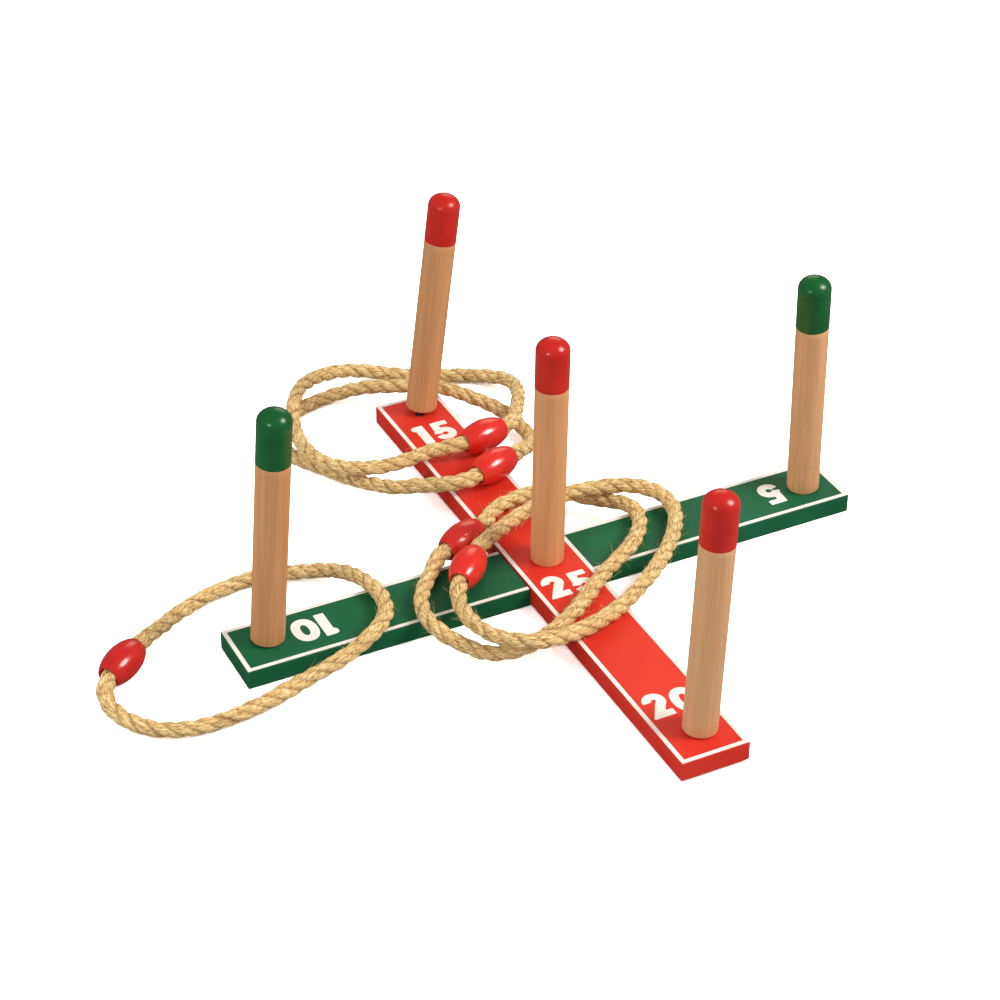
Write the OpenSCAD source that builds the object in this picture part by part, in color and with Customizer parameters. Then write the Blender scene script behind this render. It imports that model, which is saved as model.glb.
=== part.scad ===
// Ring toss set: two painted boards crossed in a halving joint, five round-ended pegs on
// screw studs, and five rope rings, each with its two ends glued inside a wooden bead.
// Millimetres. Origin: centre of the cross on the floor. +Z up, green board along X.

/* [Boards] */
// Length of each board
board_length = 560; // [540:5:620]
// Width of each board
board_width = 60; // [58:1:66]
// Thickness of each board
board_thickness = 17; // [16:0.5:20]
// How far the red board's top stands above the green board's top
board_step = 1.6; // [0.6:0.1:2.4]
// Play on each side of the halving joint
notch_play = 0.6; // [0.3:0.1:1]
// Chamfer on every board edge
board_chamfer = 0.6; // [0.3:0.1:1.5]

/* [Print] */
// Width of the white border
border_width = 4.2; // [3:0.1:6]
// Thickness of the white print
print_thickness = 0.12; // [0.1:0.02:0.3]
// Height of a numeral
digit_height = 30; // [24:0.5:34]
// Corner rounding of the numerals
digit_rounding = 0.8; // [0.4:0.1:1.2]
// Places of the numbers 10 and 5, along the green board
green_number_places = [-211, 220.5]; // [-222:0.5:222]
// How far those two numbers sit off the board's middle line, towards +Y
green_number_shift = 1; // [-3:0.5:3]
// Places of the numbers 20, 25 and 15, along the red board
red_number_places = [-210, -38, 217]; // [-222:0.5:222]

/* [Pegs] */
// Diameter of a peg
peg_diameter = 28; // [26:0.5:30]
// Length of a peg, from its foot to the top of its domed end
peg_height = 214; // [180:1:240]
// Height of the dome on a peg's upper end
peg_dome = 10.5; // [7:0.5:14]
// Distance from a board's end to the middle of its outer peg hole
peg_inset = 30; // [26:1:40]
// Length of the red dipped tips
red_tip = 44; // [30:1:60]
// Length of the green dipped tips
green_tip = 47; // [30:1:60]
// Thickness of the dipped paint
paint_thickness = 0.3; // [0.2:0.05:0.5]
// Chamfer round a peg's foot
foot_chamfer = 0.6; // [0.3:0.1:1.5]
// Lean of peg 5 towards +X and +Y, in degrees
lean_5 = [-2.6, -2.1]; // [-4:0.1:4]
// Lean of peg 10
lean_10 = [4.2, -0.8]; // [-5:0.1:5]
// Lean of peg 15
lean_15 = [6.2, -1.9]; // [-6.5:0.1:6.5]
// Lean of peg 20
lean_20 = [2.4, 0.7]; // [-4:0.1:4]
// Lean of peg 25
lean_25 = [0.2, -0.9]; // [-4:0.1:4]
// How far off its stud the foot of peg 5 sits
offset_5 = [1.2, -0.7]; // [-4:0.1:4]
// How far off its stud the foot of peg 10 sits
offset_10 = [1, 4.4]; // [-5:0.1:5]
// How far off its stud the foot of peg 15 sits
offset_15 = [5, 6.5]; // [-7:0.1:7]
// How far off its stud the foot of peg 20 sits
offset_20 = [3.4, 1]; // [-4:0.1:4]
// How far off its stud the foot of peg 25 sits
offset_25 = [1.5, 1.4]; // [-4:0.1:4]
// How far peg 15 is still unscrewed
slack_15 = 3.1; // [0:0.1:5]

/* [Fastening] */
// Diameter of a stud
stud_diameter = 6; // [5:0.5:6]
// Length of a stud that reaches down into the board
stud_reach = 15; // [12:0.5:15]
// Length of a stud that is held in the peg
stud_grip = 22; // [16:1:22]
// Running clearance round a stud, on the radius
stud_play = 0.05; // [0.02:0.01:0.1]
// Outside diameter of a tee nut's barrel
nut_barrel = 8; // [7.6:0.1:9]
// Height of a tee nut, flange included
nut_height = 7.8; // [6:0.1:7.9]
// Diameter of a tee nut's flange
nut_flange = 18; // [15:0.5:20]
// Thickness of a tee nut's flange
nut_flange_thickness = 1.4; // [1:0.1:2]
// How far a tee nut's flange sits up inside the underside
nut_recess = 0.4; // [0.2:0.1:0.8]

/* [Rings] */
// Diameter of the rope
rope_diameter = 13.5; // [11:0.5:13.5]
// Length of a bead
bead_length = 42; // [36:1:42]
// Greatest diameter of a bead
bead_diameter = 28.5; // [26:0.5:30]
// Diameter of the flat end of a bead
bead_end_diameter = 18; // [17.5:0.5:22]
// Clearance between the rope and the bead's bore, on the radius
bore_play = 0.5; // [0.4:0.05:0.7]
// Flare of the bore's mouths, on the radius
mouth_flare = 0.9; // [0.6:0.1:1]
// Gap left between a ring and whatever it lies on
rest_gap = 0.5; // [0.4:0.05:1]
// Stiffness of the rope: how many stations its height is evened out over
rope_stiffness = 6; // [4:1:8]
// Ring 1, on peg 10: centre
ring_1_centre = [-262.5, 12.5]; // [-270:0.5:20]
// Ring 1: long and short radius of its oval
ring_1_radii = [124.5, 74]; // [70:0.5:126]
// Ring 1: turn of the oval, and the bead's place round it, in degrees
ring_1_turns = [17, 137]; // [0:1:180]
// Ring 1: how far its bead sits off the oval along X and Y, and its turn, in degrees
ring_1_seat = [-2.7, -3.7, 0]; // [-10:0.1:10]
// Ring 1: depth of the three, four and five waves round it
ring_1_waves = [7.5, 2.5, 2.5]; // [0:0.5:8]
// Ring 1: direction of a crest of each wave, in degrees
ring_1_crests = [-55, 44, 12]; // [-60:1:60]
// Ring 2, upper one on peg 15: centre
ring_2_centre = [-13, 259]; // [-20:0.5:265]
// Ring 2: long and short radius
ring_2_radii = [109, 91]; // [88:0.5:112]
// Ring 2: turn of the oval and place of the bead
ring_2_turns = [-3, 296]; // [-10:1:300]
// Ring 2: how far its bead sits off the oval along X and Y, and its turn, in degrees
ring_2_seat = [-3.3, -3.8, 4]; // [-10:0.1:10]
// Ring 2: depth of its waves
ring_2_waves = [7.5, 4.5, 3.5]; // [0:0.5:8]
// Ring 2: crests of its waves
ring_2_crests = [-8, 28, 22]; // [-60:1:60]
// Ring 3, lower one on peg 15: centre
ring_3_centre = [-25.5, 226.5]; // [-30:0.5:230]
// Ring 3: long and short radius
ring_3_radii = [117.5, 77.5]; // [75:0.5:120]
// Ring 3: turn of the oval and place of the bead
ring_3_turns = [-47, 332]; // [-50:1:340]
// Ring 3: how far its bead sits off the oval along X and Y, and its turn, in degrees
ring_3_seat = [-2.3, -6, -3]; // [-10:0.1:10]
// Ring 3: depth of its waves
ring_3_waves = [6.5, 5, 2.5]; // [0:0.5:8]
// Ring 3: crests of its waves
ring_3_crests = [54, 33, -6]; // [-60:1:60]
// Ring 4, upper one on peg 25: centre
ring_4_centre = [9, -22]; // [-25:0.5:12]
// Ring 4: long and short radius
ring_4_radii = [123, 69.5]; // [66:0.5:125]
// Ring 4: turn of the oval and place of the bead
ring_4_turns = [30, 116]; // [0:1:180]
// Ring 4: how far its bead sits off the oval along X and Y, and its turn, in degrees
ring_4_seat = [-2.2, -3.6, 0]; // [-10:0.1:10]
// Ring 4: depth of its waves
ring_4_waves = [4, 2, 1]; // [0:0.5:6]
// Ring 4: crests of its waves
ring_4_crests = [-21, -27, -11]; // [-60:1:60]
// Ring 5, lower one on peg 25: centre
ring_5_centre = [-17, -4]; // [-20:0.5:0]
// Ring 5: long and short radius
ring_5_radii = [121.5, 69]; // [66:0.5:125]
// Ring 5: turn of the oval and place of the bead
ring_5_turns = [32, 90]; // [0:1:180]
// Ring 5: how far its bead sits off the oval along X and Y, and its turn, in degrees
ring_5_seat = [-1.5, -6.5, -8]; // [-10:0.1:10]
// Ring 5: depth of its waves
ring_5_waves = [3, 5.5, 2]; // [0:0.5:6]
// Ring 5: crests of its waves
ring_5_crests = [-19, -39, 21]; // [-60:1:60]

/* [Hidden] */
round_facets = 64;
arc_steps = 24;
oval_steps = 60;
bead_steps = 8;
dome_steps = 12;
eps = 0.05;
lap = 1;                        // overlap of joined or cut solids, inside them

board_red = [0.86, 0.17, 0.14];
board_green = [0.12, 0.42, 0.27];
print_white = [0.96, 0.95, 0.92];
beech = [0.80, 0.62, 0.43];
tip_red_colour = [0.72, 0.13, 0.12];
tip_green_colour = [0.12, 0.40, 0.17];
steel = [0.42, 0.42, 0.44];
rope_tan = [0.82, 0.68, 0.44];
bead_red = [0.85, 0.13, 0.10];

half_width = board_width / 2;
half_length = board_length / 2;
red_top = board_thickness + board_step;
web = red_top / 2;              // height of the joint's meeting face above the floor
peg_radius = peg_diameter / 2;
peg_reach = half_length - peg_inset;
stud_radius = stud_diameter / 2;
stud_chamfer = 0.8;
stud_hole_play = 0.4;           // round a stud where it passes through a board
nut_seat_play = 0.2;            // round a tee nut's flange
print_margin = 0.2;             // from the green board's print to the notch
dip_edge = paint_thickness * 2 / 3; // depth of the paint below the bare peg's surface
rope_radius = rope_diameter / 2;
bead_radius = bead_diameter / 2;

// ---------------------------------------------------------------- boards
module chamfered_square(size, chamfer) {
    x = size[0] / 2;
    y = size[1] / 2;
    polygon([
        [-x + chamfer, -y], [x - chamfer, -y], [x, -y + chamfer], [x, y - chamfer],
        [x - chamfer, y], [-x + chamfer, y], [-x, y - chamfer], [-x, -y + chamfer]
    ]);
}

// A board along X, its underside on z = 0, every edge chamfered
module board_blank() {
    translate([0, 0, board_thickness / 2])
        intersection() {
            linear_extrude(board_thickness, center = true)
                chamfered_square([board_length, board_width], board_chamfer);
            rotate([90, 0, 90])
                linear_extrude(board_length, center = true)
                    chamfered_square([board_width, board_thickness], board_chamfer);
            rotate([90, 0, 0])
                linear_extrude(board_width, center = true)
                    chamfered_square([board_length, board_thickness], board_chamfer);
        }
}

// The hole for a stud, with a tee nut's seat in the underside
module nut_hole() {
    translate([0, 0, -eps]) {
        cylinder(r = stud_radius + stud_hole_play, h = red_top, $fn = round_facets);
        cylinder(d = nut_barrel, h = nut_recess + nut_height + eps, $fn = round_facets);
        cylinder(r = nut_flange / 2 + nut_seat_play,
            h = nut_recess + nut_flange_thickness + eps, $fn = round_facets);
    }
}

module green_board() {
    color(board_green)
        difference() {
            board_blank();
            translate([-half_width - notch_play, -half_width - eps, web])
                cube([board_width + 2 * notch_play, board_width + 2 * eps, board_thickness]);
            for (x = [-peg_reach, 0, peg_reach])
                translate([x, 0, 0])
                    nut_hole();
        }
}

module red_board() {
    color(board_red)
        difference() {
            translate([0, 0, board_step])
                rotate([0, 0, 90])
                    board_blank();
            translate([-half_width - eps, -half_width - notch_play, web - board_thickness])
                cube([board_width + 2 * eps, board_width + 2 * notch_play, board_thickness]);
            for (y = [-peg_reach, peg_reach])
                translate([0, y, board_step])
                    nut_hole();
            cylinder(r = stud_radius + stud_hole_play, h = red_top + lap,
                $fn = round_facets);
        }
}

// ---------------------------------------------------------------- numerals
// Heavy plain numerals, drawn drawn_height high on the baseline, scaled to digit_height
drawn_height = 31;

function arc(centre, radius, from, to) =
    [for (i = [0:arc_steps]) let (a = from + (to - from) * i / arc_steps)
        centre + radius * [cos(a), sin(a)]];
function reversed(points) =
    [for (i = [len(points) - 1:-1:0]) points[i]];
function rounded_oval(centre, half_x, half_y, fullness = 0.9) =
    [for (i = [0:oval_steps - 1]) let (a = 360 * i / oval_steps, c = cos(a), s = sin(a))
        centre + [
            half_x * sign(c) * pow(abs(c), fullness),
            half_y * sign(s) * pow(abs(s), fullness)
        ]];

module band(centre, outer, inner, from, to) {
    polygon(concat(arc(centre, outer, from, to), reversed(arc(centre, inner, from, to))));
}

module digit_0() {
    difference() {
        polygon(rounded_oval([11.2, 15.5], 11.2, 15.5));
        polygon(rounded_oval([11.2, 15.5], 3.4, 7.3));
    }
}

module digit_1() {
    polygon([[3, 0], [12, 0], [12, 31], [2.6, 31], [0, 29], [0.3, 25], [3, 22.5]]);
}

module digit_2() {
    band([10.2, 21], 10, 2.4, -25, 182);
    polygon([
        [0, 0], [0, 1.5], [10.2, 18.6], [12.6, 21], [20.2, 21], [19.2, 16.8], [13.2, 7.4],
        [19.6, 7.4], [19.6, 0]
    ]);
}

module digit_5() {
    band([9.8, 10.3], 10.3, 2.7, -165, 168);
    polygon([[2.4, 31], [1.2, 12], [4, 12.2], [9, 17], [9.6, 31]]);
    translate([2.6, 24.6])
        square([15.8, 6.4]);
}

// A number, each numeral given by its value, the place of its left edge and its drop
module number(numerals) {
    scale(digit_height / drawn_height)
        offset(r = digit_rounding, $fn = 16)
            offset(delta = -digit_rounding)
                for (n = numerals)
                    translate([n[1], -drawn_height / 2 - n[2]]) {
                        if (n[0] == 0) digit_0();
                        if (n[0] == 1) digit_1();
                        if (n[0] == 2) digit_2();
                        if (n[0] == 5) digit_5();
                    }
}

// The border of a board along X
module border() {
    outer = [board_length - 2 * board_chamfer, board_width - 2 * board_chamfer];
    difference() {
        square(outer, center = true);
        square([board_length - 2 * border_width, board_width - 2 * border_width], center = true);
    }
}

// The print on the green board; its numerals read upright from the +Y side
module green_board_print() {
    crossing = board_width + 2 * notch_play + 2 * print_margin;
    color(print_white)
        translate([0, 0, board_thickness])
            linear_extrude(print_thickness) {
                difference() {
                    border();
                    square([crossing, board_width], center = true);
                }
                translate([green_number_places[0], green_number_shift])
                    rotate(180)
                        number([[1, -18.2, 0], [0, -4.1, 0]]);
                translate([green_number_places[1], green_number_shift])
                    rotate(180)
                        number([[5, -9.9, 0]]);
            }
}

// The print on the red board; its numerals read upright from the -Y side
module red_board_print() {
    color(print_white)
        translate([0, 0, red_top])
            linear_extrude(print_thickness) {
                rotate(90)
                    border();
                translate([0, red_number_places[0]])
                    number([[2, -22.9, 0.3], [0, 0.1, 2.8]]);
                translate([0, red_number_places[1]])
                    number([[2, -21.9, 0], [5, 2.4, 3]]);
                translate([0, red_number_places[2]])
                    number([[1, -18.5, 0], [5, -1.5, 0.4]]);
            }
}

// ---------------------------------------------------------------- pegs
// One row a peg: stud's place, top of its board, lean, offset of its foot, slack, tip length
peg_5_set = [[peg_reach, 0], board_thickness, lean_5, offset_5, 0, green_tip];
peg_10_set = [[-peg_reach, 0], board_thickness, lean_10, offset_10, 0, green_tip];
peg_15_set = [[0, peg_reach], red_top, lean_15, offset_15, slack_15, red_tip];
peg_20_set = [[0, -peg_reach], red_top, lean_20, offset_20, 0, red_tip];
peg_25_set = [[0, 0], red_top, lean_25, offset_25, 0, red_tip];

// Moves a child from the origin to a peg's foot and leans it; the low edge of the foot
// just clears the board
module at_peg(set) {
    way = [tan(set[2][0]), tan(set[2][1])];
    lean = atan(norm(way));
    foot = set[0] + set[3];
    translate([foot[0], foot[1], set[1] + set[4] + eps + peg_radius * sin(lean)])
        rotate([0, lean, atan2(way[1], way[0])])
            children();
}

// A rod with an elliptical dome, from z = bottom up to the full height of a peg, less a skin
module domed_rod(bottom, skin) {
    shoulder = peg_height - peg_dome;
    rotate_extrude($fn = round_facets)
        polygon(concat(
            [[0, bottom]],
            [[peg_radius - skin, bottom]],
            [for (i = [0:dome_steps]) let (a = 90 * i / dome_steps)
                [(peg_radius - skin) * cos(a), shoulder + (peg_dome - skin) * sin(a)]]
        ));
}

module peg(set) {
    color(beech)
        difference() {
            at_peg(set) {
                cylinder(r1 = peg_radius - foot_chamfer, r2 = peg_radius, h = foot_chamfer,
                    $fn = round_facets);
                translate([0, 0, foot_chamfer])
                    cylinder(r = peg_radius, h = peg_height - set[5] - foot_chamfer,
                        $fn = round_facets);
                domed_rod(peg_height - set[5] - lap, dip_edge);
            }
            translate([set[0][0], set[0][1], set[1]])
                cylinder(r = stud_radius + stud_play, h = set[4] + stud_grip + lap,
                    $fn = round_facets);
        }
}

// The dipped tip: a thin closed skin round the peg's end
module tip_paint(set, colour) {
    color(colour)
        at_peg(set)
            difference() {
                domed_rod(peg_height - set[5], dip_edge - paint_thickness);
                domed_rod(peg_height - set[5] - lap, dip_edge);
            }
}

module stud(set) {
    bottom = set[1] + set[4] - stud_reach;
    color(steel)
        translate([set[0][0], set[0][1], bottom]) {
            cylinder(r1 = stud_radius - stud_chamfer, r2 = stud_radius, h = stud_chamfer,
                $fn = round_facets);
            translate([0, 0, stud_chamfer])
                cylinder(r = stud_radius, h = stud_reach + stud_grip - stud_chamfer,
                    $fn = round_facets);
        }
}

// A tee nut pressed into a board's underside
module tee_nut(place, underside) {
    color(steel)
        translate([place[0], place[1], underside + nut_recess])
            difference() {
                union() {
                    cylinder(d = nut_flange, h = nut_flange_thickness, $fn = round_facets);
                    cylinder(d = nut_barrel, h = nut_height, $fn = round_facets);
                }
                translate([0, 0, -eps])
                    cylinder(r = stud_radius + stud_play, h = nut_height + 2 * eps,
                        $fn = round_facets);
            }
}

// ---------------------------------------------------------------- rings
// A ring is worked out at evenly spread stations, the first in the middle of its bead.
stations = 96;
section_step = 2;
section_points = 12;
bead_lead = 7;                  // how far the rope stays straight outside its bead
bead_blend = 22;                // length over which it then bends away
bead_foot = 0.43;               // half width of a bead's footprint, as a share of its radius

function smooth(x) = let (c = min(1, max(0, x))) c * c * (3 - 2 * c);
function unit(v) = v / norm(v);
function wrap(i) = (i + stations) % stations;
function turned(v, a) = [v[0] * cos(a) - v[1] * sin(a), v[0] * sin(a) + v[1] * cos(a)];

// Plan of a ring: an oval with three, four and five shallow waves round it
function plan_point(centre, radii, turn, waves, crests, t) =
    let (
        mean = (radii[0] + radii[1]) / 2,
        swell = 1 + (waves[0] * cos(3 * (t - crests[0]))
            + waves[1] * cos(4 * (t - crests[1]))
            + waves[2] * cos(5 * (t - crests[2]))) / mean
    )
    centre + turned([radii[0] * cos(t) * swell, radii[1] * sin(t) * swell], turn);

function plan_loop(centre, radii, turns, waves, crests) =
    [for (i = [0:stations - 1])
        plan_point(centre, radii, turns[0], waves, crests, turns[1] + 360 * i / stations)];

// Direction of the bead, and the distance of a station from it
function bead_way(loop) = unit(loop[1] - loop[stations - 1]);
function bead_distance(loop, i) = min(i, stations - i) * norm(loop[1] - loop[0]);

// How fully a station is held in line with the bead: 1 in the bead, 0 far from it
function hold(loop, i) =
    smooth((bead_length / 2 + bead_lead + bead_blend - bead_distance(loop, i)) / bead_blend);

// The same loop, pulled onto the bead's straight bore where it runs through the bead
function threaded(loop, seat) =
    let (way = turned(bead_way(loop), seat[2]), middle = loop[0] + [seat[0], seat[1]])
    [for (i = [0:stations - 1])
        let (straight = middle + way * ((loop[i] - loop[0]) * way))
        loop[i] + hold(loop, i) * (straight - loop[i])];

// Height of the board or floor under a point, reaching `margin` past each board's edge
function ground(p, margin) =
    abs(p[0]) < half_width + margin && abs(p[1]) < half_length + margin
        ? red_top + print_thickness
    : abs(p[0]) < half_length + margin && abs(p[1]) < half_width + margin
        ? board_thickness + print_thickness
    : 0;

// Height of a bead's middle when the bead lies on what is under it
function bead_height(loop) =
    let (way = bead_way(loop), side = [-way[1], way[0]] * bead_radius * bead_foot)
    max([for (i = [-3:3]) for (k = [-1:1]) ground(loop[wrap(i)] + k * side, 0)])
        + bead_radius + rest_gap;

// Lift needed at a point to ride over a lower ring
function lift_over(p, lower) =
    let (reach = rope_diameter + rest_gap)
    max([for (q = lower) let (d = norm(p - [q[0], q[1]]))
        d < reach ? q[2] + sqrt(reach * reach - d * d) : 0]);

// Lowest height the rope's middle may have at each station
function support(loop, lower) =
    let (on_bead = bead_height(loop))
    [for (i = [0:stations - 1])
        max(
            ground(loop[i], rope_radius) + rope_radius + rest_gap,
            bead_distance(loop, i) < bead_length / 2 - 1 ? on_bead : 0,
            len(lower) > 0 ? lift_over(loop[i], lower) : 0
        )];

function highest_near(h, i) =
    max([for (k = [-rope_stiffness:rope_stiffness]) h[wrap(i + k)]]);
function mean_near(h, i) =
    let (near = [for (k = [-rope_stiffness:rope_stiffness]) h[wrap(i + k)]])
    near * [for (n = near) 1] / len(near);

// Middle line of a ring that lies on the boards, on the floor and on a lower ring
function ring_line(centre, radii, turns, seat, waves, crests, lower = []) =
    let (
        loop = threaded(plan_loop(centre, radii, turns, waves, crests), seat),
        need = support(loop, lower),
        crest = [for (i = [0:stations - 1]) highest_near(need, i)],
        height = [for (i = [0:stations - 1]) mean_near(crest, i)]
    )
    [for (i = [0:stations - 1])
        [loop[i][0], loop[i][1], height[i] + hold(loop, i) * (height[0] - height[i])]];

ring_1_line = ring_line(ring_1_centre, ring_1_radii, ring_1_turns, ring_1_seat,
    ring_1_waves, ring_1_crests);
ring_3_line = ring_line(ring_3_centre, ring_3_radii, ring_3_turns, ring_3_seat,
    ring_3_waves, ring_3_crests);
ring_2_line = ring_line(ring_2_centre, ring_2_radii, ring_2_turns, ring_2_seat,
    ring_2_waves, ring_2_crests, ring_3_line);
ring_5_line = ring_line(ring_5_centre, ring_5_radii, ring_5_turns, ring_5_seat,
    ring_5_waves, ring_5_crests);
ring_4_line = ring_line(ring_4_centre, ring_4_radii, ring_4_turns, ring_4_seat,
    ring_4_waves, ring_4_crests, ring_5_line);

// Rope: a round section swept along a ring's line, from one end inside the bead to the other
module rope(line) {
    way = unit(line[1] - line[stations - 1]);
    ends_gap = 0.5;
    path = concat(
        [line[0] + way * ends_gap],
        [for (i = [section_step:section_step:stations - section_step]) line[i]],
        [line[0] - way * ends_gap]
    );
    last = len(path) - 1;
    tangents = [for (i = [0:last]) i == 0 || i == last ? way : unit(path[i + 1] - path[i - 1])];
    points = [for (i = [0:last])
        let (side = unit(cross(tangents[i], [0, 0, 1])), up = cross(side, tangents[i]))
        for (j = [0:section_points - 1])
            let (a = 360 * (j + 0.5) / section_points)
            path[i] + rope_radius * (cos(a) * side + sin(a) * up)];
    n = section_points;
    faces = concat(
        [[for (j = [0:n - 1]) j]],
        [for (i = [0:last - 1]) for (j = [0:n - 1]) [
            i * n + j, (i + 1) * n + j, (i + 1) * n + (j + 1) % n, i * n + (j + 1) % n]],
        [[for (j = [n - 1:-1:0]) last * n + j]]
    );
    color(rope_tan)
        polyhedron(points, [for (f = faces) reversed(f)], convexity = 6);
}

// Bead: a barrel with an elliptical outline, flat ends and a bore with flared mouths
module bead(line) {
    way = line[1] - line[stations - 1];
    half = bead_length / 2;
    bore = rope_radius + bore_play;
    mouth_depth = 4;
    end_radius = bead_end_diameter / 2;
    full = half / sqrt(1 - pow(end_radius / bead_radius, 2));
    color(bead_red)
        translate(line[0])
            rotate([0, 90, atan2(way[1], way[0])])
                difference() {
                    rotate_extrude($fn = round_facets)
                        polygon(concat(
                            [[0, -half]],
                            [for (i = [-bead_steps:bead_steps]) let (z = half * i / bead_steps)
                                [bead_radius * sqrt(1 - pow(z / full, 2)), z]],
                            [[0, half]]
                        ));
                    cylinder(r = bore, h = bead_length + lap, center = true,
                        $fn = round_facets);
                    for (end = [0, 1])
                        mirror([0, 0, end])
                            translate([0, 0, half - mouth_depth])
                                cylinder(r1 = bore, r2 = bore + mouth_flare * 1.2,
                                    h = mouth_depth * 1.2, $fn = round_facets);
                }
}

green_board();
green_board_print();
red_board();
red_board_print();
tee_nut([peg_reach, 0], 0);  // tee_nut_5
tee_nut([-peg_reach, 0], 0);  // tee_nut_10
tee_nut([0, peg_reach], board_step);  // tee_nut_15
tee_nut([0, -peg_reach], board_step);  // tee_nut_20
tee_nut([0, 0], 0);  // tee_nut_25
stud(peg_5_set);  // stud_5
stud(peg_10_set);  // stud_10
stud(peg_15_set);  // stud_15
stud(peg_20_set);  // stud_20
stud(peg_25_set);  // stud_25
peg(peg_5_set);  // peg_5
peg(peg_10_set);  // peg_10
peg(peg_15_set);  // peg_15
peg(peg_20_set);  // peg_20
peg(peg_25_set);  // peg_25
tip_paint(peg_5_set, tip_green_colour);  // peg_5_tip_paint
tip_paint(peg_10_set, tip_green_colour);  // peg_10_tip_paint
tip_paint(peg_15_set, tip_red_colour);  // peg_15_tip_paint
tip_paint(peg_20_set, tip_red_colour);  // peg_20_tip_paint
tip_paint(peg_25_set, tip_red_colour);  // peg_25_tip_paint
rope(ring_1_line);  // ring_1_rope
rope(ring_2_line);  // ring_2_rope
rope(ring_3_line);  // ring_3_rope
rope(ring_4_line);  // ring_4_rope
rope(ring_5_line);  // ring_5_rope
bead(ring_1_line);  // ring_1_bead
bead(ring_2_line);  // ring_2_bead
bead(ring_3_line);  // ring_3_bead
bead(ring_4_line);  // ring_4_bead
bead(ring_5_line);  // ring_5_bead
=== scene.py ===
import math

import bpy
import numpy as np
from mathutils import Matrix, Vector


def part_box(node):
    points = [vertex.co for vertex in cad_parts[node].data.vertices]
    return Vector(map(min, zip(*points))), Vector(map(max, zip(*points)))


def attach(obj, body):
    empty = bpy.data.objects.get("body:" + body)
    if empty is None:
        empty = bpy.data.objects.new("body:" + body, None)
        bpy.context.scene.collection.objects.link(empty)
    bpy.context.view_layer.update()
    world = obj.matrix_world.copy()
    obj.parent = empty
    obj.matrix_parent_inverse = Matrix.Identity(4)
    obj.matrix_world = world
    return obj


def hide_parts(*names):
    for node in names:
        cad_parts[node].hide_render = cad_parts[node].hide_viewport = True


# Looks of the ring toss set. Lengths in the helpers are metres unless a name ends in _mm.

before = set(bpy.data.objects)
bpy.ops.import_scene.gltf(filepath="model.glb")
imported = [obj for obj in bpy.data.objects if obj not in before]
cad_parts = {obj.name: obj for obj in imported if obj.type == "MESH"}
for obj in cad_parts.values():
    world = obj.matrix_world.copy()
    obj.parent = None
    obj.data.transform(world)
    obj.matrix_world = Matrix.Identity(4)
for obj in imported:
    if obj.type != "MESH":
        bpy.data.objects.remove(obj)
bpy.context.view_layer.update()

MM = 0.001
PEGS = ("5", "10", "15", "20", "25")
RINGS = ("1", "2", "3", "4", "5")
UP = np.array([0.0, 0.0, 1.0])


# ------------------------------------------------------------------ reading the frame
def node_points(node):
    """Unique corner points of a CAD node."""
    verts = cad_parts[node].data.vertices
    points = np.zeros(len(verts) * 3, np.float32)
    verts.foreach_get("co", points)
    return np.unique(points.reshape(-1, 3).astype(float).round(6), axis=0)


def unit(v):
    return v / np.linalg.norm(v, axis=-1, keepdims=True)


def turning_axis(points, near):
    """Centre and direction of a body of revolution, the direction being the one nearest to `near`."""
    centre = points.mean(0)
    _, directions = np.linalg.eigh(np.cov((points - centre).T))
    best = directions[:, np.abs(directions.T @ near).argmax()]
    return centre, best if best @ near > 0 else -best


def radius_about(points, centre, axis):
    offset = points - centre
    return np.linalg.norm(offset - np.outer(offset @ axis, axis), axis=1)


def side_axes(axis):
    first = unit(np.cross(axis, [0.0, 1.0, 0.0]))
    return first, np.cross(axis, first)


# ------------------------------------------------------------------ meshes
def grid_faces(rows, columns, close_rows=False, close_columns=True, start=0):
    """Quads between the points of a grid stored row by row."""
    faces = []
    for i in range(rows if close_rows else rows - 1):
        for j in range(columns if close_columns else columns - 1):
            below, above = start + i * columns, start + (i + 1) % rows * columns
            after = (j + 1) % columns
            faces.append((below + j, below + after, above + after, above + j))
    return faces


def piece(name, points, faces, body, stands_for, material, vectors=None, floats=None):
    """A smooth-shaded mesh piece that rides on a CAD body and stands for a CAD node."""
    mesh = bpy.data.meshes.new(name)
    mesh.from_pydata(np.asarray(points).tolist(), [], faces)
    mesh.polygons.foreach_set("use_smooth", [True] * len(mesh.polygons))
    for key, values in (vectors or {}).items():
        layer = mesh.attributes.new(key, "FLOAT_VECTOR", "POINT")
        layer.data.foreach_set("vector", np.asarray(values, np.float32).ravel())
    for key, values in (floats or {}).items():
        layer = mesh.attributes.new(key, "FLOAT", "POINT")
        layer.data.foreach_set("value", np.asarray(values, np.float32).ravel())
    mesh.materials.append(material)
    mesh.update()
    thing = bpy.data.objects.new(name, mesh)
    bpy.context.scene.collection.objects.link(thing)
    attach(thing, body)
    if stands_for:
        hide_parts(stands_for)
    return thing


def turn_angles(count):
    return np.arange(count) * 2 * math.pi / count


def directions_about(axis, count):
    """Unit vectors square to an axis, evenly round it."""
    first, second = side_axes(axis)
    angles = turn_angles(count)
    return np.cos(angles)[:, None] * first + np.sin(angles)[:, None] * second


def revolve(profile, count, centre, axis):
    """Points of (radius, height) rows turned about an axis, row by row."""
    ring = directions_about(axis, count)
    return np.concatenate([centre + height * axis + radius * ring for radius, height in profile])


def arc_profile(centre, radius, start, end, steps):
    """Points (radius, height) of an arc, its angles in degrees from the outward direction."""
    angles = np.radians(np.linspace(start, end, steps))
    return [(centre[0] + radius * math.cos(a), centre[1] + radius * math.sin(a)) for a in angles]


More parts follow.
